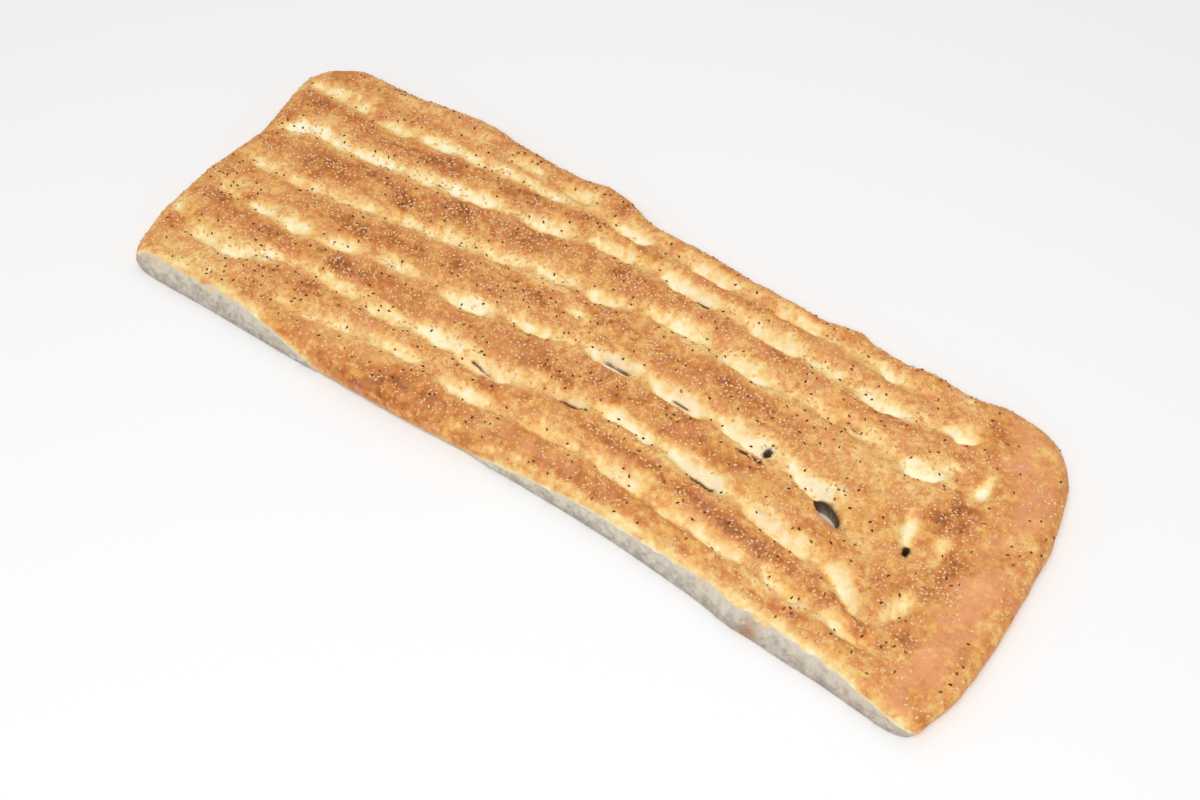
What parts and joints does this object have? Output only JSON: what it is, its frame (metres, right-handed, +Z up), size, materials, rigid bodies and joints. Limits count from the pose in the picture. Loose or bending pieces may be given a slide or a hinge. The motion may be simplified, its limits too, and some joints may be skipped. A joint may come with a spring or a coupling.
{
  "type": "barbari bread",
  "caption": "Long flat oven bread with rounded ends, finger-pressed furrows along its length, sesame and nigella seeds on the crust, a torn-through opening and one pale side.",
  "frame": {"origin": "middle of the bread's outline, on the surface it lies on", "axes": "+X along the bread's length, +Y towards the rounded crust side and away from the pale torn side, +Z up"},
  "size_m": [0.7552, 0.2911, 0.0257],
  "materials": {
    "baked_crust": null,
    "sesame_seed": "toasted sesame seed, pale ivory to tan, slightly oily",
    "nigella_seed": "nigella seed, matt black-brown"
  },
  "bodies": {
    "root": {"barbari_bread": "baked_crust"}
  },
  "joints": []
}
